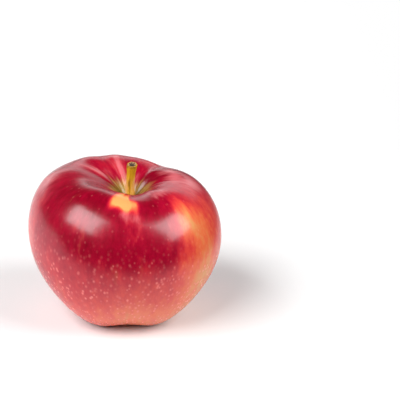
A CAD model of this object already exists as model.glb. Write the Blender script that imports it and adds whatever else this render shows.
"""A red and yellow eating apple with its stem and the dried flower parts underneath, on a pale floor.

Laid out as an add-on and run as a script. Each operator makes one piece, or one group of like pieces.
Lengths are metres and +Z is up. Azimuths are degrees from +X, counter-clockwise seen from above, so -90
faces the camera.
"""

import math

import bpy
import numpy as np
from bpy.props import FloatProperty, FloatVectorProperty, IntProperty, PointerProperty
from mathutils import Euler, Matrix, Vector


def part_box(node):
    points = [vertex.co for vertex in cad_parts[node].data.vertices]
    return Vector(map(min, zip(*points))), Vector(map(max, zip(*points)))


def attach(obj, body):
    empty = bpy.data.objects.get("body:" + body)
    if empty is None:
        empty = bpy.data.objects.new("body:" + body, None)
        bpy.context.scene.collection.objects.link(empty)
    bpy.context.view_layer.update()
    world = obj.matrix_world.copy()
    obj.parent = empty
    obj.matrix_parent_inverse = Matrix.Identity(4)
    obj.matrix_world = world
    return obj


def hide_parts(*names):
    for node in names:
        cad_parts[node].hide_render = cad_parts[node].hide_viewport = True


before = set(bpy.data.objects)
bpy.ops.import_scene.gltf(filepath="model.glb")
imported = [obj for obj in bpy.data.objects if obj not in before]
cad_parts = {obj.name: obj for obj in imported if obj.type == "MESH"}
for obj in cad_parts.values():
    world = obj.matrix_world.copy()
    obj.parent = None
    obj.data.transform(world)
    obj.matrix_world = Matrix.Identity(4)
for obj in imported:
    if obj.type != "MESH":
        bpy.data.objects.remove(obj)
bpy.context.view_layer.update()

bl_info = {
    "name": "Eating apple",
    "version": (1, 0, 0),
    "blender": (4, 5, 0),
    "location": "View3D > Sidebar > Apple",
    "description": "Makes an apple with its stem, its dried eye and a small studio stage",
    "category": "Add Mesh",
}

MM = 0.001

# Seeds of the random waves and lengths.
FRUIT_SEED = 7
PATCH_SEED = 12
RIB_SEED = 5
KNOB_SEED = 11
SEPAL_SEED = 20
STAMEN_SEED = 3

# What growth adds to a turned shape. A pair is an azimuth in degrees and a share of the radius or height.
LOBES = 5
LOBE_VALLEY = -90
BASE_LOBE_RISE = 1.9 * MM
CHEEK_LOBE_SWELL = 0.35 * MM
FULL_SIDE = (207, 0.05)
OVAL = (-9, 0.02)
HIGH_SIDE = (192, 0.062)
UNEVENNESS = 0.22 * MM

# Where the folds and the pleats begin and end: radii, and the level under which there are no pleats.
FOLD_START = 2.5 * MM
PLEAT_RISE = (2.2 * MM, 7 * MM)
PLEAT_FADE = (12 * MM, 25 * MM)
PLEAT_LEVEL = 45 * MM

# The socket that the stem stands in: its depth, and how wide and high the lip round it is.
SOCKET_DEPTH = 2 * MM
LIP_WIDTH = 0.5 * MM
LIP_HEIGHT = 0.25 * MM

# Folds from the stem over the shoulder: azimuth, rise (a dip where negative) and half width in degrees.
SHOULDER_FOLDS = [
    (24, 0.6 * MM, 16),
    (58, -1.1 * MM, 15),
    (104, 0.5 * MM, 9),
    (132, 0.5 * MM, 10),
    (178, 0.5 * MM, 15),
    (-128, 0.6 * MM, 17),
    (-78, -1.0 * MM, 22),
    (-36, 0.5 * MM, 18),
]

# Narrow pleats in the stem cavity's wall, which die out over the shoulder: the same three values.
CAVITY_PLEATS = [
    (8, -0.6 * MM, 12),
    (46, 0.8 * MM, 12),
    (84, -0.2 * MM, 9),
    (107, 0.5 * MM, 6),
    (131, -0.2 * MM, 9),
    (158, 0.4 * MM, 8),
    (-165, -0.25 * MM, 10),
    (-100, 0.2 * MM, 8),
    (-50, 0.25 * MM, 9),
]

# Where the red is thin or thick: azimuth and half width in degrees, distance along the skin from the stem's
# foot and half length in metres, how much of the yellow ground shows (negative where the red is deeper) and
# how crisp the edge is.
COLOUR_PATCHES = [
    (-101, 9, 0.0208, 0.0066, 0.80, 2.0),
    (-92, 9.5, 0.0246, 0.0052, 0.80, 2.0),
    (-92, 8, 0.0310, 0.0030, 0.12, 1.0),
    (-86, 3, 0.037, 0.005, 0.14, 1.5),
    (-105, 38, 0.037, 0.006, 0.08, 1.0),
    (-48, 12, 0.033, 0.009, 0.40, 1.0),
    (-40, 14, 0.045, 0.016, 0.44, 1.0),
    (-60, 9, 0.048, 0.010, 0.14, 1.0),
    (-42, 18, 0.061, 0.012, 0.12, 1.0),
    (-14, 22, 0.042, 0.022, 0.42, 1.0),
    (-173, 17, 0.050, 0.016, 0.26, 1.0),
    (-122, 28, 0.027, 0.008, -0.07, 1.0),
    (-122, 10, 0.0385, 0.004, 0.08, 1.0),
    (-70, 11, 0.025, 0.006, -0.08, 1.0),
    (28, 18, 0.012, 0.005, -0.08, 1.5),
    (107, 8, 0.014, 0.010, 0.22, 1.0),
    (157, 9, 0.013, 0.008, 0.20, 1.0),
    (130, 18, 0.013, 0.006, 0.14, 1.0),
    (75, 26, 0.048, 0.024, 0.44, 1.0),
    (128, 18, 0.044, 0.018, 0.28, 1.0),
    (165, 20, 0.056, 0.014, 0.10, 1.0),
]

# Where a pale bloom greys the skin, mostly on the crests round the stem: the same six values.
BLOOM_PATCHES = [
    (108, 6, 0.013, 0.009, 0.75, 1.5),
    (118, 3, 0.012, 0.008, 0.30, 1.5),
    (156, 8, 0.013, 0.007, 0.50, 1.0),
    (136, 10, 0.011, 0.004, 0.35, 1.0),
    (76, 10, 0.008, 0.004, 0.40, 1.0),
    (30, 8, 0.014, 0.003, 0.35, 1.0),
    (-114, 8, 0.019, 0.003, 0.25, 1.0),
    (-50, 15, 0.0175, 0.004, 0.55, 1.0),
    (1, 15, 0.0262, 0.005, 0.80, 1.0),
    (10, 14, 0.0180, 0.004, 0.60, 1.0),
    (28, 12, 0.0195, 0.003, 0.45, 1.0),
    (105, 20, 0.0215, 0.002, 0.40, 1.0),
    (176, 16, 0.034, 0.010, 0.50, 1.0),
    (-92, 8, 0.0305, 0.0028, 0.50, 1.0),
    (-86, 3, 0.037, 0.006, 0.30, 1.0),
    (-118, 9, 0.033, 0.004, 0.20, 1.0),
    (-64, 6, 0.036, 0.005, 0.20, 1.0),
]

# How much of the ground shows by the stem, what the flank, the base and the warm side add to that, and the
# warm side's azimuth.
GROUND_BY_STEM = 0.17
GROUND_ON_FLANK = 0.26
GROUND_ON_BASE = 0.24
GROUND_ON_WARM_SIDE = 0.16
WARM_SIDE = -30

# Where the stem cavity is less olive: azimuth and half width in degrees.
OLIVE_GAP = (70, 34.38)

# How far random waves push the outlines of those patches, round the core in radians and along the skin.
PATCH_PUSH = 0.16
PATCH_SLIDE = 4.5 * MM

# Distances along the skin from the stem's foot, in metres: where each change begins and where it is full.
PALER_FLANK = (0.042, 0.062)
PALER_BASE = (0.058, 0.084)
WARM_FLANK = (0.050, 0.068)
CAVITY_OLIVE_FADE = (0.0, 0.013)
EYE_OLIVE = (0.096, 0.108)
FIRST_DOTS = (0.008, 0.020)
CLOSE_DOTS = (0.034, 0.060)
STRONG_DOTS = (0.042, 0.066)

# How often each noise in the skin repeats in a metre: twice round the core, then along the skin.
BROAD_GRAIN = (90, 90, 22)
STREAK_GRAIN = (380, 380, 105)
RAY_GRAIN = (170, 170, 60)
HAIR_GRAIN = (1300, 1300, 420)
BLOTCH_GRAIN = (430, 430, 330)

# How much all but the rays vary the blush, and how much of the ground shows at each of its colours.
BROAD_PUSH = 0.30
STREAK_PUSH = 0.24
HAIR_PUSH = 0.12
BLOTCH_PUSH = 0.26
BLUSH_STEPS = (0.06, 0.26, 0.44, 0.60, 0.76, 0.97)

# How often the noises that are alike all ways repeat in a metre, and how high the skin's relief is.
MOTTLE_GRAIN = 240.0
LUMP_GRAIN = 150.0
GRIT_GRAIN = 900.0
SKIN_RELIEF = 0.06 * MM

# Pores: how many would stand in a metre, how far from its point each one's edge is as a share of that
# spacing, the squeeze along the skin that makes them longer than wide, and how often their clusters repeat.
WIDE_DOT = (380.0, 0.24)
CLOSE_DOT = (530.0, 0.46)
DOT_SQUEEZE = (1.0, 1.0, 0.78)
DOT_CLUSTERS = 200.0

# How often the noises in the stem repeat in a metre, and those of the dry sepals and stamens.
FIBRE_GRAIN = (1300, 1300, 120)
WOOD_PATCH_GRAIN = (420, 420, 150)
CRUMB_GRAIN = 1900.0
VEIN_GRAIN = 2600.0
DOWN_GRAIN = 700.0

# Levels on the stem as shares of its visible length.
STEM_SPREAD = 0.20
STEM_WAIST = 0.45
STEM_NECK = 0.74
STEM_END = 0.975

# Its surface: ribs round it, random furrows between them and lumps on its knob.
RIBS = 7
RIB_HEIGHT = 0.09 * MM
FURROW_DEPTH = 0.07 * MM
KNOB_LUMP = 0.16 * MM

# How far each sepal curls outwards from its foot to its tip, in degrees.
SEPAL_CURLS = (84, 66, 78, 92, 72)

# How far the sepals' edges cup and their tips crumple, how far their feet sink into the flesh, and how far
# the core has leant aside at the eye.
SEPAL_CUP = 0.55 * MM
SEPAL_CRUMPLE = 0.16 * MM
SEPAL_SINK = 0.1 * MM
EYE_LEAN = 0.1 * MM

# The turn from one stamen to the next in radians, how much they splay for each metre that a foot stands out,
# how far the feet start below the tuft's top and how far the longest one ends above the tuft's tip.
STAMEN_TURN = 2.4
STAMEN_SPLAY = 130.0
STAMEN_START = 0.8 * MM
STAMEN_END = 0.1 * MM

# The camera's sensor, in mm.
SENSOR_WIDTH = 36.0

# The room, in the parts of a direction from -1 to 1: where its wall begins at the sides and ends at the top,
# the level, tilt and sharpness of the bright band on it, and how much the band dims towards the right.
WALL_SIDES = (0.60, 0.85)
WALL_TOP = (0.55, 0.35)
BAND_LEVEL = 0.235
BAND_TILT = 0.25
BAND_SHARPNESS = 8.5
BAND_FALL = 1.2

# Window lights: name, bearing and elevation in degrees, distance, width, height and power in watts.
WINDOWS = [
    ("window_left", -56, 44, 2.5, 2.4, 1.75, 113.0),
    ("window_right", 71, 38, 2.5, 1.75, 1.75, 72.0),
]


def clamp_ramp(value, low, high):
    """0 below low, 1 above high, and the smooth cubic 3t^2 - 2t^3 between."""
    t = np.clip((value - low) / (high - low), 0.0, 1.0)
    return t * t * (3.0 - 2.0 * t)


def turn_from(azimuth, degrees):
    """The signed angle, in radians, from a given azimuth in degrees, wrapped to half a turn each way."""
    turn = azimuth - math.radians(degrees)
    return np.arctan2(np.sin(turn), np.cos(turn))


def between(low, high, share):
    """The value at a share of the way from low to high."""
    return low + (high - low) * share


def bell(azimuth, degrees, width):
    """exp(-(turn / width)^2) of the turn from a given azimuth, both of them in degrees."""
    return np.exp(-((turn_from(azimuth, degrees) / math.radians(width)) ** 2))


def cubic(start, leave, arrive, end, steps=60):
    """Points of a cubic Bezier curve, without its last one."""
    t = np.linspace(0.0, 1.0, steps, endpoint=False)[:, None]
    start, leave, arrive, end = (np.array(p) for p in (start, leave, arrive, end))
    return (1 - t) ** 3 * start + 3 * t * (1 - t) ** 2 * leave + 3 * t * t * (1 - t) * arrive + t**3 * end


def even_steps(points, count):
    """The same outline as count points at even distances, and each one's distance from the start."""
    run = np.r_[0.0, np.cumsum(np.linalg.norm(np.diff(points, axis=0), axis=1))]
    along = np.linspace(0.0, run[-1], count)
    return np.stack([np.interp(along, run, column) for column in points.T], axis=1), along


def waves(azimuth, along, seed, count, around, length):
    """The mean of count sine waves of random phase, which run round the core and along the skin."""
    rng = np.random.default_rng(seed)
    total = np.zeros(np.broadcast(azimuth, along).shape)
    for _ in range(count):
        turns = rng.integers(1, around + 1)
        phase, drift = rng.uniform(0.0, 2 * math.pi, 2)
        rate = rng.uniform(0.3, 1.0) * 2 * math.pi / length
        total += np.sin(turns * azimuth + phase + rate * along + drift)
    return total / count


def loft_mesh(name, grids):
    """A mesh of closed tubes. Each grid is (rings, sides, 3): its rings run along the tube, turning
    counter-clockwise about the way they run, and both ends close on the middle of their last ring, so the
    faces point outwards.
    """
    points, faces, base = [], [], 0
    for grid in grids:
        rings, sides, _ = grid.shape
        index = base + np.arange(rings * sides).reshape(rings, sides)
        after = np.roll(index, -1, axis=1)
        quads = np.stack([index[:-1], after[:-1], after[1:], index[1:]], axis=-1).reshape(-1, 4)
        foot, tip = base + rings * sides, base + rings * sides + 1
        ends = [
            np.stack([after[0], index[0], np.full(sides, foot)], axis=-1),
            np.stack([index[-1], after[-1], np.full(sides, tip)], axis=-1),
        ]
        points += [grid.reshape(-1, 3), grid[0].mean(axis=0)[None], grid[-1].mean(axis=0)[None]]
        faces += [*quads.tolist(), *ends[0].tolist(), *ends[1].tolist()]
        base += rings * sides + 2
    mesh = bpy.data.meshes.new(name)
    mesh.from_pydata(np.concatenate(points), [], faces)
    mesh.update()
    mesh.shade_smooth()
    return mesh


def store(mesh, name, values, kind="FLOAT"):
    """Keeps a number or a vector for each vertex. The values are a loft's grid; its ends get the mean."""
    grid = np.asarray(values, dtype=np.float32)
    flat = grid.reshape(-1, *grid.shape[2:])
    flat = np.concatenate([flat, grid[0].mean(axis=0)[None], grid[-1].mean(axis=0)[None]])
    layer = mesh.attributes.new(name, kind, "POINT")
    layer.data.foreach_set("vector" if kind == "FLOAT_VECTOR" else "value", flat.ravel())


def add_piece(name, mesh, material, node):
    """Puts a finished mesh in the scene as a piece that rides on the fruit and stands for its CAD node."""
    piece = bpy.data.objects.new(name, mesh)
    bpy.context.scene.collection.objects.link(piece)
    mesh.materials.append(material)
    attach(piece, "root")
    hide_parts(node)


# ---- Shader maths ----


class Wire:
    """One output of a shader node. Sums and products of wires and numbers add the Math nodes they need."""

    def __init__(self, tree, socket=None):
        self.tree = tree
        self.socket = socket

    def node(self, kind, settings=(), inputs=(), output=0):
        """Adds a node of this kind. Its settings come first, a ramp's stops among them, then its inputs."""
        made = self.tree.nodes.new(kind)
        for name, value in dict(settings).items():
            if name == "stops":
                set_stops(made.color_ramp, value)
            else:
                setattr(made, name, value)
        for key, value in dict(inputs).items():
            if isinstance(value, Wire):
                self.tree.links.new(value.socket, made.inputs[key])
            else:
                made.inputs[key].default_value = value
        return Wire(self.tree, made.outputs[output])

    def math(self, operation, *values):
        """Adds a Math node that does this operation on wires and numbers."""
        return self.node("ShaderNodeMath", {"operation": operation}, enumerate(values))

    def __add__(self, other):
        return self.math("ADD", self, other)

    def __sub__(self, other):
        return self.math("SUBTRACT", self, other)

    def __rsub__(self, other):
        return self.math("SUBTRACT", other, self)

    def __mul__(self, other):
        return self.math("MULTIPLY", self, other)

    __radd__ = __add__
    __rmul__ = __mul__


def set_stops(ramp, stops):
    """Gives a colour ramp its stops: position and linear RGB colour, in order."""
    for position, colour in stops[2:]:
        ramp.elements.new(position)
    for element, (position, colour) in zip(ramp.elements, stops, strict=True):
        element.position = position
        element.color = (*colour, 1.0)


def blank_material(name):
    """A new material, its shader socket to feed, and a wire to start its nodes from."""
    material = bpy.data.materials.new(name)
    material.use_nodes = True
    shader = material.node_tree.nodes["Principled BSDF"]
    return material, shader, Wire(material.node_tree)


def feed(shader, **wires):
    """Links wires to a shader's sockets; Base_Color stands for Base Color."""
    for name, wire in wires.items():
        wire.tree.links.new(wire.socket, shader.inputs[name.replace("_", " ")])


def attribute(start, name, output="Fac"):
    """A value that the mesh keeps for each vertex."""
    return start.node("ShaderNodeAttribute", {"attribute_name": name}, output=output)


def scaled(start, vector, factors):
    """A vector with each part multiplied by its own factor."""
    return start.node("ShaderNodeVectorMath", {"operation": "MULTIPLY"}, {0: vector, 1: factors})


def noise(start, vector, scale, detail=3.0, roughness=0.55):
    """Smooth noise, 0 to 1, with its middle at one half."""
    values = {"Vector": vector, "Scale": scale, "Detail": detail, "Roughness": roughness}
    return start.node("ShaderNodeTexNoise", {}, values)


def ramp01(wire, low, high):
    """0 below low and 1 above high, smooth between. Low above high turns it round."""
    settings = {"interpolation_type": "SMOOTHSTEP", "clamp": True}
    return wire.node("ShaderNodeMapRange", settings, {"Value": wire, "From Min": low, "From Max": high})


def blend(start, first, second, share):
    """A colour between two, by a share from 0 to 1."""
    return start.node("ShaderNodeMix", {"data_type": "RGBA"}, {0: share, 6: first, 7: second}, output=2)


def colour_ramp(wire, stops):
    """The colour between stops that a value from 0 to 1 falls on."""
    return wire.node("ShaderNodeValToRGB", {"stops": stops}, {"Fac": wire})


def bump(start, height, strength, distance):
    """A normal for relief that is distance metres high where the height is 1."""
    return start.node("ShaderNodeBump", {}, {"Strength": strength, "Distance": distance, "Height": height})


def opaque(colour):
    """A colour with its alpha."""
    return (*colour, 1.0)


# ---- Settings ----


def length(name, description, default):
    """A length in metres."""
    return FloatProperty(name=name, description=description, default=default, unit="LENGTH", precision=5)


def angle(name, description, degrees):
    """An angle, kept in radians and shown in degrees."""
    return FloatProperty(name=name, description=description, default=math.radians(degrees), subtype="ANGLE")


def factor(name, description, default):
    """An amount that has no unit of Blender's own."""
    return FloatProperty(name=name, description=description, default=default, min=0, precision=3)


def colour(name, description, default):
    """A linear RGB colour."""
    return FloatVectorProperty(
        name=name, description=description, default=default, subtype="COLOR", size=3, min=0, max=1
    )


class FruitSettings(bpy.types.PropertyGroup):
    diameter: length("Diameter", "Across the cheeks, the mean of all directions", 76.5 * MM)
    height: length("Height", "Floor to the mean shoulder", 58.6 * MM)
    cheek_height: length("Cheek height", "Level of the widest section", 35 * MM)
    rest_flat: length("Rest flat", "How much of each lobe is pressed flat where it rests", 0.6 * MM)
    cavity_width: length("Cavity width", "Stem cavity, from crest to crest", 41 * MM)
    cavity_depth: length("Cavity depth", "Mean shoulder to the stem's foot", 9.2 * MM)
    basin_width: length("Basin width", "Eye basin, from lobe crest to lobe crest", 27.6 * MM)
    basin_depth: length("Basin depth", "Floor to the basin's own floor", 6.2 * MM)
    sepal_floor: length("Sepal floor", "Width of the flat the sepals grow from", 9.6 * MM)
    eye_tube: length("Eye tube", "Diameter of the tube in the middle of the eye", 4.4 * MM)
    eye_depth: length("Eye depth", "Depth of that tube", 3.6 * MM)
    core_lean: length("Core lean", "Sideways drift of the core over the height", 1 * MM)
    rings: IntProperty(name="Rings", description="Rows of the skin from stem to eye", default=260)
    sides: IntProperty(name="Sides", description="Columns of the skin round the core", default=300)
    deep_red: colour("Deep red", "Where the blush is thickest", (0.18, 0.0, 0.009))
    red: colour("Red", "The usual blush", (0.30, 0.001, 0.018))
    crimson: colour("Crimson", "A thinner blush", (0.47, 0.014, 0.027))
    scarlet: colour("Scarlet", "A thinner blush still", (0.63, 0.048, 0.038))
    orange: colour("Orange", "Hardly any blush over the ground", (0.72, 0.135, 0.050))
    ground: colour("Ground", "The yellow under the blush", (0.64, 0.31, 0.095))
    cavity_green: colour("Cavity green", "The olive skin round the stem", (0.26, 0.17, 0.022))
    cavity_tan: colour("Cavity tan", "The paler streaks in it", (0.42, 0.22, 0.07))
    dot: colour("Dots", "The pale pores in the skin", (0.86, 0.23, 0.21))
    bloom: colour("Bloom", "The pale bloom on the crests", (0.56, 0.13, 0.145))
    roughness: factor("Roughness", "Of the waxy skin, on average", 0.235)


class StemSettings(bpy.types.PropertyGroup):
    waist: length("Waist", "Diameter at the waist", 3.3 * MM)
    foot: length("Foot", "Diameter where it leaves the flesh", 4.4 * MM)
    knob: length("Knob", "Diameter of the swollen end", 4.1 * MM)
    socket_gap: length("Socket gap", "Crevice between the flesh and the stem", 0.1 * MM)
    bend: length("Bend", "Sideways drift of the cut end", 0.9 * MM)
    cut_slope: angle("Cut slope", "How far the cut end faces towards -Y", 10)
    olive: colour("Olive", "The stem's main colour", (0.71, 0.39, 0.014))
    bark: colour("Bark", "The brown in its furrows", (0.17, 0.07, 0.008))
    brown: colour("Brown", "Between the two", (0.46, 0.22, 0.012))
    straw: colour("Straw", "The palest fibres", (0.70, 0.44, 0.09))
    tan: colour("Tan", "The blush on its lower half", (0.62, 0.30, 0.15))
    green: colour("Green", "Its foot", (0.36, 0.30, 0.04))
    ripe: colour("Ripe", "Its darker upper half", (0.50, 0.27, 0.004))
    cut: colour("Cut", "The broken end's rim", (0.42, 0.25, 0.12))
    pith: colour("Pith", "The middle of the broken end", (0.035, 0.02, 0.012))


class EyeSettings(bpy.types.PropertyGroup):
    sepal_length: length("Sepal length", "Along its curl", 6.1 * MM)
    sepal_width: length("Sepal width", "At its widest", 3.6 * MM)
    sepal_thickness: length("Sepal thickness", "At its foot", 0.5 * MM)
    sepal: colour("Sepal", "The dry blades", (0.17, 0.115, 0.06))
    sepal_pale: colour("Sepal down", "Their pale down", (0.42, 0.36, 0.26))
    stamens: IntProperty(name="Stamens", description="Stamens and styles in the tuft", default=22)
    stamen_width: length("Stamen width", "At its foot", 0.4 * MM)
    tuft_width: length("Tuft width", "Across the stamens' feet", 3.1 * MM)
    stamen: colour("Stamen", "The dried stamens", (0.06, 0.033, 0.018))
    stamen_pale: colour("Stamen dust", "Their paler patches", (0.16, 0.10, 0.05))


class StageSettings(bpy.types.PropertyGroup):
    camera_elevation: angle("Camera elevation", "Above the horizon", 25.8)
    camera_distance: length("Camera distance", "To the middle of the fruit", 0.75)
    lens: factor("Lens", "Focal length in mm, for a sensor 36 mm wide", 166.6)
    aside: length("Aside", "How far right of the fruit the camera aims", 28.8 * MM)
    above: length("Above", "How far above the fruit the camera aims", 17.7 * MM)
    floor_colour: colour("Floor", "Pale matt floor", (0.74, 0.74, 0.74))
    floor_front: length("Floor front", "Where the floor has faded out towards the camera", 0.14)
    floor_right: length("Floor right", "Where it has faded out towards the right", 0.145)
    floor_fade: length("Floor fade", "The length of those fades", 0.095)
    floor_back: length("Floor back", "How far it runs to the back and the left", 3.0)
    room_glow: factor("Room glow", "Light from the dim room", 0.02)
    wall_glow: factor("Wall glow", "Light from the wall behind", 0.10)
    band_glow: factor("Band glow", "Light from the bright band on it, in its middle", 1.5)


# ---- Fruit ----


def stem_foot(fruit):
    """The level where the stem leaves the flesh."""
    return fruit.height - fruit.cavity_depth


def fruit_section(fruit, stem):
    """The fruit's half section as (radius, height) points from the socket's floor, up the cavity, over the
    shoulder, down the flank, round a lobe and into the eye. Straight runs and cubic curves with level or
    upright ends.
    """
    cheek, crest = fruit.diameter / 2, fruit.cavity_width / 2
    lobe, floor, tube = fruit.basin_width / 2, fruit.sepal_floor / 2, fruit.eye_tube / 2
    socket = stem.foot / 2 + stem.socket_gap
    top, low = fruit.height, -fruit.rest_flat
    foot = stem_foot(fruit)
    lip = cubic(
        (socket, foot - SOCKET_DEPTH),
        (socket, foot - 0.6 * MM),
        (socket + 0.1 * MM, foot - 0.1 * MM),
        (socket + LIP_WIDTH, foot + LIP_HEIGHT),
        12,
    )
    cavity = cubic(
        (socket + LIP_WIDTH, foot + LIP_HEIGHT),
        (between(socket, crest, 0.14), between(foot, top, 0.22)),
        (between(crest, socket, 0.58), top),
        (crest, top),
    )
    shoulder = cubic(
        (crest, top),
        (between(crest, cheek, 0.57), top),
        (cheek, between(fruit.cheek_height, top, 0.56)),
        (cheek, fruit.cheek_height),
    )
    flank = cubic(
        (cheek, fruit.cheek_height),
        (cheek, between(fruit.cheek_height, 0.0, 0.47)),
        (between(lobe, cheek, 0.48), low),
        (lobe, low),
    )
    basin = cubic(
        (lobe, low),
        (between(lobe, floor, 0.5), low),
        (between(floor, lobe, 0.35), fruit.basin_depth),
        (floor, fruit.basin_depth),
    )
    eye_end = fruit.basin_depth + fruit.eye_depth
    eye = [(floor, fruit.basin_depth), (tube, fruit.basin_depth), (tube, eye_end), (0.3 * MM, eye_end)]
    start = [(socket * 0.3, foot - SOCKET_DEPTH - 0.2 * MM)]
    return np.concatenate([start, lip, cavity, shoulder, flank, basin, eye])


def grow(fruit, radius, height, azimuth, along):
    """Takes the turned section to the grown fruit. Lobes: cos(5 turn), which is 1 in a valley, raises the
    base there and draws the cheek in. Each fold and pleat adds a bell exp(-(turn / width)^2) to the height.
    One side's radius and another's height grow by a few percent as the cosine of the turn from it, and
    cos(2 turn) makes the section oval. The core leans as the height grows, and nothing goes below the floor.
    """
    cheek, crest = fruit.diameter / 2, fruit.cavity_width / 2
    lobe_radius, floor = fruit.basin_width / 2, fruit.sepal_floor / 2
    lobe = np.cos(LOBES * turn_from(azimuth, LOBE_VALLEY))
    low = (1 - clamp_ramp(height, 0, fruit.cheek_height)) * clamp_ramp(radius, floor, lobe_radius)
    high = clamp_ramp(height, fruit.cheek_height, fruit.height) * clamp_ramp(radius, FOLD_START, crest)
    wall = clamp_ramp(radius, *PLEAT_RISE) * (1 - clamp_ramp(radius, *PLEAT_FADE)) * (height > PLEAT_LEVEL)
    away = clamp_ramp(radius, floor, crest)
    grown_height = height + BASE_LOBE_RISE * low * (1 + lobe) / 2
    for degrees, rise, width in SHOULDER_FOLDS:
        grown_height = grown_height + rise * high * bell(azimuth, degrees, width)
    for degrees, rise, width in CAVITY_PLEATS:
        grown_height = grown_height + rise * wall * bell(azimuth, degrees, width)
    full = FULL_SIDE[1] * np.cos(turn_from(azimuth, FULL_SIDE[0]))
    oval = OVAL[1] * np.cos(2 * turn_from(azimuth, OVAL[0]))
    tall = HIGH_SIDE[1] * np.cos(turn_from(azimuth, HIGH_SIDE[0]))
    uneven = UNEVENNESS * waves(azimuth, along, FRUIT_SEED, 14, 5, 0.05) * away
    grown_radius = radius * (1 + (full + oval) * away) + uneven
    grown_radius = grown_radius - CHEEK_LOBE_SWELL * clamp_ramp(radius, lobe_radius, cheek) * lobe
    grown_height = grown_height * (1 + away * tall * radius / cheek)
    lean = fruit.core_lean * grown_height / fruit.height
    x = grown_radius * np.cos(azimuth) + lean
    y = grown_radius * np.sin(azimuth)
    return np.stack([x, y, np.maximum(grown_height, 0.0)], axis=-1)


def skin_rows(fruit, stem, count):
    """The section as count even points, and each one's distance along the skin from the stem's foot."""
    section, along = even_steps(fruit_section(fruit, stem), count)
    inside = stem.foot / 2 + stem.socket_gap + LIP_WIDTH
    return section, along - np.interp(inside, section[: count // 4, 0], along[: count // 4])


def core_axis(fruit, stem):
    """Where the core meets the floor: the CAD fruit's middle, less that of the fruit grown about zero."""
    section, along = skin_rows(fruit, stem, 120)
    azimuth = np.linspace(-math.pi, math.pi, 180, endpoint=False)
    skin = grow(fruit, section[:, :1], section[:, 1:], azimuth[None], along[:, None]).reshape(-1, 3)
    low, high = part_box("fruit")
    middle = (skin.min(axis=0) + skin.max(axis=0)) / 2
    return (low.x + high.x) / 2 - middle[0], (low.y + high.y) / 2 - middle[1]


def patches(azimuth, along, table):
    """A sum of soft oval patches, each its amount times a bell exp(-d^(2 crispness)) of the distance d from
    its middle in its own half widths. Random waves push the outlines, so that none is a plain oval.
    """
    pushed = azimuth + PATCH_PUSH * waves(azimuth, along, PATCH_SEED, 24, 36, 0.012)
    slid = along + PATCH_SLIDE * waves(azimuth, along, PATCH_SEED + 1, 24, 60, 0.012)
    total = np.zeros(pushed.shape)
    for degrees, width, centre, reach, amount, crispness in table:
        away = (turn_from(pushed, degrees) / math.radians(width)) ** 2 + ((slid - centre) / reach) ** 2
        total += amount * np.exp(-(away**crispness))
    return total


def bare_ground(azimuth, along):
    """How much of the yellow ground shows: more towards the eye and on the warm side, plus the patches."""
    flank = GROUND_ON_FLANK * clamp_ramp(along, *PALER_FLANK)
    base = GROUND_ON_BASE * clamp_ramp(along, *PALER_BASE)
    warm = GROUND_ON_WARM_SIDE * np.cos(turn_from(azimuth, WARM_SIDE)) * clamp_ramp(along, *WARM_FLANK)
    return GROUND_BY_STEM + flank + base + warm + patches(azimuth, along, COLOUR_PATCHES)


def skin_material(fruit):
    """Crimson blush in streaks and blotches over a yellow ground, olive round the stem and the eye, a pale
    bloom on the crests, pale pores, and a soft waxy gloss.
    """
    material, shader, start = blank_material("apple_skin")
    run = attribute(start, "growth", "Vector")
    place = start.node("ShaderNodeTexCoord", output="Object")
    along = attribute(start, "along")
    broad = noise(start, scaled(start, run, BROAD_GRAIN), 1.0, 3.0)
    streak = noise(start, scaled(start, run, STREAK_GRAIN), 1.0, 4.0, 0.6)
    ray = noise(start, scaled(start, run, RAY_GRAIN), 1.0, 3.0)
    hair = noise(start, scaled(start, run, HAIR_GRAIN), 1.0, 2.0, 0.6)
    blotch = noise(start, scaled(start, run, BLOTCH_GRAIN), 1.0, 4.0, 0.6)
    bare = attribute(start, "bare") + (broad - 0.5) * BROAD_PUSH + (streak - 0.5) * STREAK_PUSH
    bare = bare + (hair - 0.5) * HAIR_PUSH + (blotch - 0.5) * BLOTCH_PUSH
    blush = [fruit.deep_red, fruit.red, fruit.crimson, fruit.scarlet, fruit.orange, fruit.ground]
    paint = colour_ramp(bare, list(zip(BLUSH_STEPS, blush, strict=True)))
    olive = ramp01(attribute(start, "olive") + (ray - 0.5) * 1.3 + (streak - 0.5) * 0.3, 0.22, 0.85)
    green = blend(start, opaque(fruit.cavity_green), opaque(fruit.cavity_tan), ramp01(ray, 0.45, 0.62))
    paint = blend(start, paint, green, olive)
    bloom = ramp01(attribute(start, "bloom") + (streak - 0.5) * 0.5 + (hair - 0.5) * 0.3, 0.1, 0.9)
    paint = blend(start, paint, opaque(fruit.bloom), bloom)
    dots, raised = skin_dots(start, run, along)
    paint = blend(start, paint, opaque(fruit.dot), dots)
    mottle = noise(start, place, MOTTLE_GRAIN, 3.0)
    rough = fruit.roughness + (mottle - 0.5) * 0.14 + dots * 0.12
    lumps = noise(start, place, LUMP_GRAIN, 2.0)
    height = lumps + raised * 0.3 + noise(start, place, GRIT_GRAIN, 2.0) * 0.2 + streak * 0.12
    feed(shader, Base_Color=paint, Roughness=rough, Normal=bump(start, height, 1.0, SKIN_RELIEF))
    shader.inputs["IOR"].default_value = 1.5
    shader.inputs["Subsurface Weight"].default_value = 0.04
    shader.inputs["Subsurface Radius"].default_value = (1.0, 0.3, 0.15)
    shader.inputs["Subsurface Scale"].default_value = 1.5 * MM
    return material


def dot_layer(start, place, closeness, edge):
    """1 at random points, smoothly down to 0 at the edge of the sphere round each."""
    cell = {"feature": "F1", "voronoi_dimensions": "3D"}
    distance = start.node("ShaderNodeTexVoronoi", cell, {"Vector": place, "Scale": closeness})
    return ramp01(distance, edge, 0.0)


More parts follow.
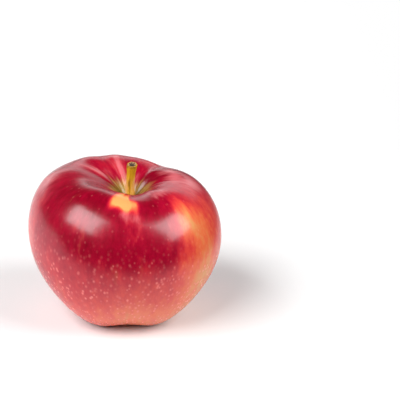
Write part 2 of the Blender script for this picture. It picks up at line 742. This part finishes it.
def skin_dots(start, run, along):
    """Pale pores: spheres round random points cut by the skin, so their sizes vary; longer than wide, closer
    and stronger low down, none by the stem. Gives how pale each point is and how high it stands.
    """
    place = scaled(start, run, DOT_SQUEEZE)
    wide_dots = dot_layer(start, place, *WIDE_DOT)
    close_dots = dot_layer(start, place, *CLOSE_DOT) * ramp01(along, *CLOSE_DOTS)
    both = wide_dots.math("MAXIMUM", wide_dots, close_dots)
    patchy = 0.45 + ramp01(noise(start, run, DOT_CLUSTERS, 1.0), 0.34, 0.60) * 0.55
    strength = (0.18 + ramp01(along, *STRONG_DOTS) * 0.58) * ramp01(along, *FIRST_DOTS)
    return both * patchy * strength, both


class APPLE_OT_fruit(bpy.types.Operator):
    """Grow the fruit: one skin from the stem's socket to the eye"""

    bl_idname = "apple.fruit"
    bl_label = "Fruit"

    def execute(self, context):
        fruit, stem = context.scene.apple_fruit, context.scene.apple_stem
        section, along = skin_rows(fruit, stem, fruit.rings)
        azimuth = np.linspace(-math.pi, math.pi, fruit.sides, endpoint=False)[None]
        section, along = section[::-1], along[::-1][:, None]
        radius, height = section[:, :1], section[:, 1:]
        skin = grow(fruit, radius, height, azimuth, along)
        skin[..., :2] += core_axis(fruit, stem)
        mesh = loft_mesh("fruit_skin", [skin])
        cheek = fruit.diameter / 2
        growth = [cheek * np.cos(azimuth), cheek * np.sin(azimuth), along]
        growth = np.stack(np.broadcast_arrays(*growth), axis=-1)
        olive = 1.05 - clamp_ramp(along, *CAVITY_OLIVE_FADE) - 0.25 * bell(azimuth, *OLIVE_GAP)
        olive += 0.8 * clamp_ramp(along, *EYE_OLIVE)
        store(mesh, "growth", growth, "FLOAT_VECTOR")
        store(mesh, "along", growth[..., 2])
        store(mesh, "bare", bare_ground(azimuth, along))
        store(mesh, "bloom", patches(azimuth, along, BLOOM_PATCHES))
        store(mesh, "olive", olive)
        add_piece("fruit_skin", mesh, skin_material(fruit), "fruit")
        return {"FINISHED"}


# ---- Stem ----


def stem_grid(fruit, stem, sides=72):
    """Rings up a stalk whose radius runs foot, waist, knob through cubic curves, with lengthwise ribs
    cos(7 azimuth) and random furrows. The centre bends as the square of the height; the end rolls over a rim
    into a hollow. Gives the grid, and each point's share of the height, radius before the ribs, and azimuth.
    """
    x, y = core_axis(fruit, stem)
    foot = stem_foot(fruit)
    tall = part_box("stem")[1].z - foot
    spread_z, waist_z = foot + STEM_SPREAD * tall, foot + STEM_WAIST * tall
    neck_z, end_z = foot + STEM_NECK * tall, foot + STEM_END * tall
    spread = between(stem.foot, stem.waist, 0.5) / 2
    side = np.concatenate([
        cubic(
            (stem.foot / 2 * 0.96, foot - SOCKET_DEPTH),
            (stem.foot / 2, foot - 0.5 * MM),
            (stem.foot / 2 * 0.98, foot + 1.2 * MM),
            (spread, spread_z),
        ),
        cubic(
            (spread, spread_z),
            (stem.waist / 2 * 1.04, spread_z + 0.1 * tall),
            (stem.waist / 2, waist_z),
            (stem.waist / 2 * 1.02, neck_z),
        ),
        cubic(
            (stem.waist / 2 * 1.02, neck_z),
            (stem.waist / 2 * 1.08, neck_z + 0.11 * tall),
            (stem.knob / 2, end_z - 0.06 * tall),
            (stem.knob / 2, end_z),
        ),
        cubic(
            (stem.knob / 2, end_z),
            (stem.knob / 2, end_z + 0.28 * MM),
            (stem.knob / 2 - 0.2 * MM, end_z + 0.32 * MM),
            (stem.knob / 2 - 0.5 * MM, end_z + 0.22 * MM),
            10,
        ),
        cubic(
            (stem.knob / 2 - 0.5 * MM, end_z + 0.22 * MM),
            (stem.knob / 2 - 0.9 * MM, end_z + 0.1 * MM),
            (0.7 * MM, end_z - 0.5 * MM),
            (0.15 * MM, end_z - 0.6 * MM),
            20,
        ),
    ])
    section, _ = even_steps(side, 130)
    azimuth = np.linspace(-math.pi, math.pi, sides, endpoint=False)[None]
    radius, height = section[:, :1], section[:, 1:]
    rise = np.clip((height - foot) / tall, 0.0, 1.0)
    furrows = FURROW_DEPTH * waves(azimuth, height, RIB_SEED, 10, 12, 8 * MM)
    ribs = RIB_HEIGHT * np.cos(RIBS * azimuth + 0.8 * rise) + furrows
    lumps = KNOB_LUMP * waves(azimuth, height, KNOB_SEED, 6, 4, 4 * MM) * clamp_ramp(rise, 0.75, 0.95)
    shaped = radius + (ribs + lumps) * np.minimum(1.0, radius / (1.2 * MM))
    bend = stem.bend * rise**2
    slope = math.tan(stem.cut_slope) * rise**4
    across, deep = shaped * np.cos(azimuth), shaped * np.sin(azimuth)
    lean = fruit.core_lean * foot / fruit.height
    grid = np.stack([x + lean + across + bend, y + deep, height + deep * slope], axis=-1)
    return grid, *np.broadcast_arrays(rise, radius, azimuth)


def stem_material(stem):
    """Olive yellow wood, brown in its furrows, green at its foot, blushed tan low down and riper above, with
    brown under the dark, broken end in its paler rim.
    """
    material, shader, start = blank_material("stem_wood")
    run = attribute(start, "growth", "Vector")
    rise = attribute(start, "rise")
    cut = attribute(start, "cut")
    fibre = noise(start, scaled(start, run, FIBRE_GRAIN), 1.0, 4.0, 0.65)
    patch = noise(start, scaled(start, run, WOOD_PATCH_GRAIN), 1.0, 3.0)
    speck = noise(start, run, CRUMB_GRAIN, 3.0, 0.65)
    wood = colour_ramp(fibre * 0.55 + patch * 0.45, [
        (0.32, stem.bark),
        (0.43, stem.brown),
        (0.55, stem.olive),
        (0.70, stem.straw),
    ])
    blush = ramp01(patch * 0.6 + fibre * 0.4, 0.44, 0.56) * ramp01(rise, 0.70, 0.50)
    tan = blend(start, wood, opaque(stem.tan), blush * 0.8)
    green = blend(start, tan, opaque(stem.green), ramp01(rise, 0.14, 0.02) * 0.6)
    ripe = blend(start, green, opaque(stem.ripe), ramp01(rise, 0.55, 0.72) * 0.6)
    rot = ramp01(rise + (patch - 0.5) * 0.7, 0.90, 1.02) * 0.8
    old = blend(start, ripe, opaque(stem.bark), rot)
    crumbled = ramp01(cut * 0.6 + (speck - 0.5) * 1.5, 0.10, 0.30)
    end = blend(start, opaque(stem.cut), opaque(stem.pith), crumbled)
    paint = blend(start, old, end, ramp01(cut, 0.02, 0.16))
    grain = bump(start, fibre + patch, 0.5, 0.2 * MM)
    feed(shader, Base_Color=paint, Roughness=0.5 + fibre * 0.25, Normal=grain)
    shader.inputs["Specular IOR Level"].default_value = 0.22
    return material


class APPLE_OT_stem(bpy.types.Operator):
    """Make the woody stem, with its ribs, its swollen end and its broken top"""

    bl_idname = "apple.stem"
    bl_label = "Stem"

    def execute(self, context):
        fruit, stem = context.scene.apple_fruit, context.scene.apple_stem
        grid, rise, radius, azimuth = stem_grid(fruit, stem)
        mesh = loft_mesh("stem_wood", [grid])
        rim = stem.knob / 2
        on_top = np.arange(grid.shape[0])[:, None] > np.argmax(grid[:, 0, 2])
        cut = np.where(on_top, 1 - radius / rim, 0.0)
        growth = np.stack([rim * np.cos(azimuth), rim * np.sin(azimuth), grid[..., 2]], axis=-1)
        growth[..., :2] *= (radius / rim)[..., None]
        store(mesh, "growth", growth, "FLOAT_VECTOR")
        store(mesh, "rise", rise)
        store(mesh, "cut", cut)
        add_piece("stem_wood", mesh, stem_material(stem), "stem")
        return {"FINISHED"}


# ---- Eye: sepals and stamens ----


def sepal_grid(fruit, stem, eye, node, curl, seed, rings=34, sides=20):
    """A flattened, lance shaped tube along an arc that starts in the basin's floor, halfway from the eye's
    tube to the floor's edge, and curls outwards towards the CAD sepal's middle. Its half width is a sine
    times (1 - t^2.6)^0.8, which drops to nothing at the tip, its edges cup as the square of the width, and
    waves crumple it.
    """
    low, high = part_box(node)
    x, y = core_axis(fruit, stem)
    middle = np.array([(low.x + high.x) / 2 - x, (low.y + high.y) / 2 - y])
    outward = middle / np.linalg.norm(middle)
    sideways = np.array([-outward[1], outward[0]])
    ring = between(fruit.eye_tube, fruit.sepal_floor, 0.5) / 2
    t = np.linspace(0.0, 1.0, rings)[:, None]
    around = np.linspace(0.0, 2 * math.pi, sides, endpoint=False)[None]
    reach = eye.sepal_length / curl
    half_width = eye.sepal_width / 2 * (0.72 + 0.28 * np.sin(t * 2.4)) * (1 - t**2.6) ** 0.8 + 0.02 * MM
    half_depth = eye.sepal_thickness / 2 * (1 - 0.6 * t) * (1 - t**6) ** 0.5 + 0.015 * MM
    across = half_width * np.cos(around)
    cupped = (SEPAL_CUP * (across / (eye.sepal_width / 2)) ** 2) * (0.4 + t)
    crumple = SEPAL_CRUMPLE * waves(across * 900, t * 5.6 * MM, seed, 8, 3, 3 * MM)
    normal_out = half_depth * np.sin(around) + crumple * t - cupped
    bend = curl * t
    out = ring + reach * (1 - np.cos(bend)) + normal_out * np.cos(bend)
    down = -reach * np.sin(bend) + normal_out * np.sin(bend)
    px = x + EYE_LEAN + outward[0] * out + sideways[0] * across
    py = y + outward[1] * out + sideways[1] * across
    return np.stack([px, py, fruit.basin_depth + SEPAL_SINK + down], axis=-1)


def dry_material(name, dark, pale):
    """Dry plant skin: veins and patches of pale down over brown, matt, with a crumpled bump."""
    material, shader, start = blank_material(name)
    place = start.node("ShaderNodeTexCoord", output="Object")
    vein = noise(start, place, VEIN_GRAIN, 4.0, 0.7)
    patch = noise(start, place, DOWN_GRAIN, 2.0)
    paint = blend(start, opaque(dark), opaque(pale), ramp01(vein * 0.5 + patch * 0.5, 0.44, 0.66))
    feed(shader, Base_Color=paint, Roughness=0.75 + vein * 0.2, Normal=bump(start, vein, 0.6, 0.15 * MM))
    return material


class APPLE_OT_sepals(bpy.types.Operator):
    """Make the five dried sepals round the eye"""

    bl_idname = "apple.sepals"
    bl_label = "Sepals"

    def execute(self, context):
        fruit, stem, eye = context.scene.apple_fruit, context.scene.apple_stem, context.scene.apple_eye
        material = dry_material("dried_sepal", eye.sepal, eye.sepal_pale)
        for index, curl in enumerate(SEPAL_CURLS):
            node = f"sepal_{index + 1}"
            grid = sepal_grid(fruit, stem, eye, node, math.radians(curl), SEPAL_SEED + index)
            mesh = loft_mesh(f"dried_{node}", [grid])
            add_piece(f"dried_{node}", mesh, material, node)
        return {"FINISHED"}


def thread(start, direction, curl, span, radius, swell, rings=14, sides=8):
    """A thin tapered tube down a parabola, start + (direction s + curl s^2) span, with a swelling
    exp(-((s - 0.9) / 0.1)^2) near its end.
    """
    s = np.linspace(0.0, 1.0, rings)[:, None]
    around = np.linspace(0.0, 2 * math.pi, sides, endpoint=False)[None]
    centre = start + (direction * s + curl * s**2) * span
    width = radius * (1 - 0.4 * s) + swell * np.exp(-(((s - 0.9) / 0.1) ** 2))
    ring = np.stack([np.cos(around), -np.sin(around), np.zeros(around.shape)], axis=-1)
    return centre[:, None, :] + ring * width[..., None]


class APPLE_OT_stamens(bpy.types.Operator):
    """Make the tuft of dried stamens and styles in the middle of the eye"""

    bl_idname = "apple.stamens"
    bl_label = "Stamens"

    def execute(self, context):
        fruit, stem, eye = context.scene.apple_fruit, context.scene.apple_stem, context.scene.apple_eye
        low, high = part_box("stamen_tuft")
        x, y = core_axis(fruit, stem)
        rng = np.random.default_rng(STAMEN_SEED)
        threads = []
        for index in range(eye.stamens):
            out = eye.tuft_width / 2 * math.sqrt((index + 0.5) / eye.stamens)
            away = np.array([math.cos(STAMEN_TURN * index), math.sin(STAMEN_TURN * index)]) * out
            direction = np.array([*(away * STAMEN_SPLAY), -1.0])
            curl = np.array([*rng.uniform(-0.25, 0.25, 2), 0.0])
            start = np.array([x + EYE_LEAN + away[0], y + away[1], high.z - STAMEN_START])
            span = (high.z - low.z - STAMEN_START - STAMEN_END) * rng.uniform(0.7, 1.0)
            swell = rng.uniform(0.08, 0.3) * MM
            threads.append(thread(start, direction, curl, span, eye.stamen_width / 2, swell))
        mesh = loft_mesh("dried_stamens", threads)
        material = dry_material("dried_stamen", eye.stamen, eye.stamen_pale)
        add_piece("dried_stamens", mesh, material, "stamen_tuft")
        return {"FINISHED"}


# ---- Stage ----


def aim(bearing, elevation, distance, target):
    """A place seen from the target at a bearing in degrees, from -Y towards +X, and an elevation; and the
    turn that makes a camera or a light there look back at the target.
    """
    b, e = math.radians(bearing), math.radians(elevation)
    way = Vector((math.sin(b) * math.cos(e), -math.cos(b) * math.cos(e), math.sin(e)))
    return target + way * distance, way.to_track_quat("Z", "Y")


def softbox(name, bearing, elevation, distance, width, height, watts, target):
    """Adds a soft rectangular light that looks at the target and can't be seen itself."""
    light = bpy.data.lights.new(name, "AREA")
    light.shape = "RECTANGLE"
    light.size, light.size_y = width, height
    light.energy = watts
    lamp = bpy.data.objects.new(name, light)
    lamp.location, turn = aim(bearing, elevation, distance, target)
    lamp.rotation_euler = turn.to_euler()
    lamp.visible_camera = False
    bpy.context.scene.collection.objects.link(lamp)


def room_light(stage):
    """A dim room that looks white to the camera, with a faintly lit wall behind and a bright band on it. The
    band is a bell exp(-(sharpness d)^2) of the distance d from its middle, which rises to the right, and it
    is brighter on the left.
    """
    world = bpy.data.worlds.new("room")
    world.use_nodes = True
    bpy.context.scene.world = world
    back = world.node_tree.nodes["Background"]
    start = Wire(world.node_tree)
    way = start.node("ShaderNodeTexCoord", output="Generated")
    aside, deep, up = (start.node("ShaderNodeSeparateXYZ", {}, {0: way}, output=part) for part in (0, 1, 2))
    from_band = (up - aside * BAND_TILT - BAND_LEVEL) * BAND_SHARPNESS
    band = start.math("EXPONENT", 0.0 - from_band * from_band)
    behind = ramp01(deep, *WALL_SIDES)
    seen = start.node("ShaderNodeLightPath", output="Is Camera Ray")
    wall = behind * ramp01(up, *WALL_TOP) * stage.wall_glow
    glow = stage.room_glow + wall + behind * band * (stage.band_glow - aside * BAND_FALL)
    strength = glow.math("MAXIMUM", glow, seen)
    world.node_tree.links.new(strength.socket, back.inputs["Strength"])
    back.inputs["Color"].default_value = (1.0, 1.0, 1.0, 1.0)


def floor_mesh(stage):
    """A flat rectangle at the floor's level, which ends in front and on the right where it has faded out."""
    left, right, front, back = -stage.floor_back, stage.floor_right, -stage.floor_front, stage.floor_back
    mesh = bpy.data.meshes.new("floor")
    corners = [(left, front, 0), (right, front, 0), (right, back, 0), (left, back, 0)]
    mesh.from_pydata(corners, [], [(0, 1, 2, 3)])
    return mesh


def floor_material(stage):
    """Matt pale paper that fades out in front and on the right, which keeps its reflection off the gloss."""
    material, shader, start = blank_material("floor_paper")
    shader.inputs["Base Color"].default_value = opaque(stage.floor_colour)
    shader.inputs["Roughness"].default_value = 0.85
    place = start.node("ShaderNodeTexCoord", output="Object")
    aside, deep = (start.node("ShaderNodeSeparateXYZ", {}, {0: place}, output=part) for part in (0, 1))
    front = ramp01(deep, -stage.floor_front, stage.floor_fade - stage.floor_front)
    right = ramp01(aside, stage.floor_right, stage.floor_right - stage.floor_fade)
    feed(shader, Alpha=front * right)
    return material


class APPLE_OT_stage(bpy.types.Operator):
    """Set up the floor, the lights and the camera"""

    bl_idname = "apple.stage"
    bl_label = "Stage"

    def execute(self, context):
        stage, fruit = context.scene.apple_stage, context.scene.apple_fruit
        context.scene.view_settings.view_transform = "Standard"
        floor = bpy.data.objects.new("floor", floor_mesh(stage))
        floor.data.materials.append(floor_material(stage))
        context.scene.collection.objects.link(floor)
        x, y = core_axis(fruit, context.scene.apple_stem)
        middle = Vector((x + fruit.core_lean / 2, y, fruit.height / 2))
        for window in WINDOWS:
            softbox(*window, middle)
        room_light(stage)
        camera = bpy.data.objects.new("camera", bpy.data.cameras.new("camera"))
        camera.data.sensor_width = SENSOR_WIDTH
        camera.data.lens = stage.lens
        camera.rotation_mode = "QUATERNION"
        camera.location, look = aim(0, math.degrees(stage.camera_elevation), stage.camera_distance, middle)
        pan = -math.atan(stage.aside / stage.camera_distance)
        tilt = math.atan(stage.above / stage.camera_distance)
        camera.rotation_quaternion = look @ Euler((tilt, pan, 0.0)).to_quaternion()
        context.scene.collection.objects.link(camera)
        context.scene.camera = camera
        return {"FINISHED"}


class APPLE_PT_panel(bpy.types.Panel):
    """Lists the apple's pieces and their settings"""

    bl_label = "Apple"
    bl_idname = "APPLE_PT_panel"
    bl_space_type = "VIEW_3D"
    bl_region_type = "UI"
    bl_category = "Apple"

    def draw(self, context):
        for operator in OPERATORS:
            self.layout.operator(operator.bl_idname)
        for name in SETTINGS:
            group = getattr(context.scene, name)
            box = self.layout.box()
            for prop in group.bl_rna.properties:
                if prop.identifier not in {"rna_type", "name"}:
                    box.prop(group, prop.identifier)


SETTINGS = {
    "apple_fruit": FruitSettings,
    "apple_stem": StemSettings,
    "apple_eye": EyeSettings,
    "apple_stage": StageSettings,
}
OPERATORS = [APPLE_OT_fruit, APPLE_OT_stem, APPLE_OT_sepals, APPLE_OT_stamens, APPLE_OT_stage]


def register():
    for kind in [*SETTINGS.values(), *OPERATORS, APPLE_PT_panel]:
        bpy.utils.register_class(kind)
    for name, kind in SETTINGS.items():
        setattr(bpy.types.Scene, name, PointerProperty(type=kind))


def unregister():
    for name in SETTINGS:
        delattr(bpy.types.Scene, name)
    for kind in reversed([*SETTINGS.values(), *OPERATORS, APPLE_PT_panel]):
        bpy.utils.unregister_class(kind)


def main():
    register()
    bpy.ops.apple.fruit()
    bpy.ops.apple.stem()
    bpy.ops.apple.sepals()
    bpy.ops.apple.stamens()
    bpy.ops.apple.stage()


if __name__ == "__main__":
    main()
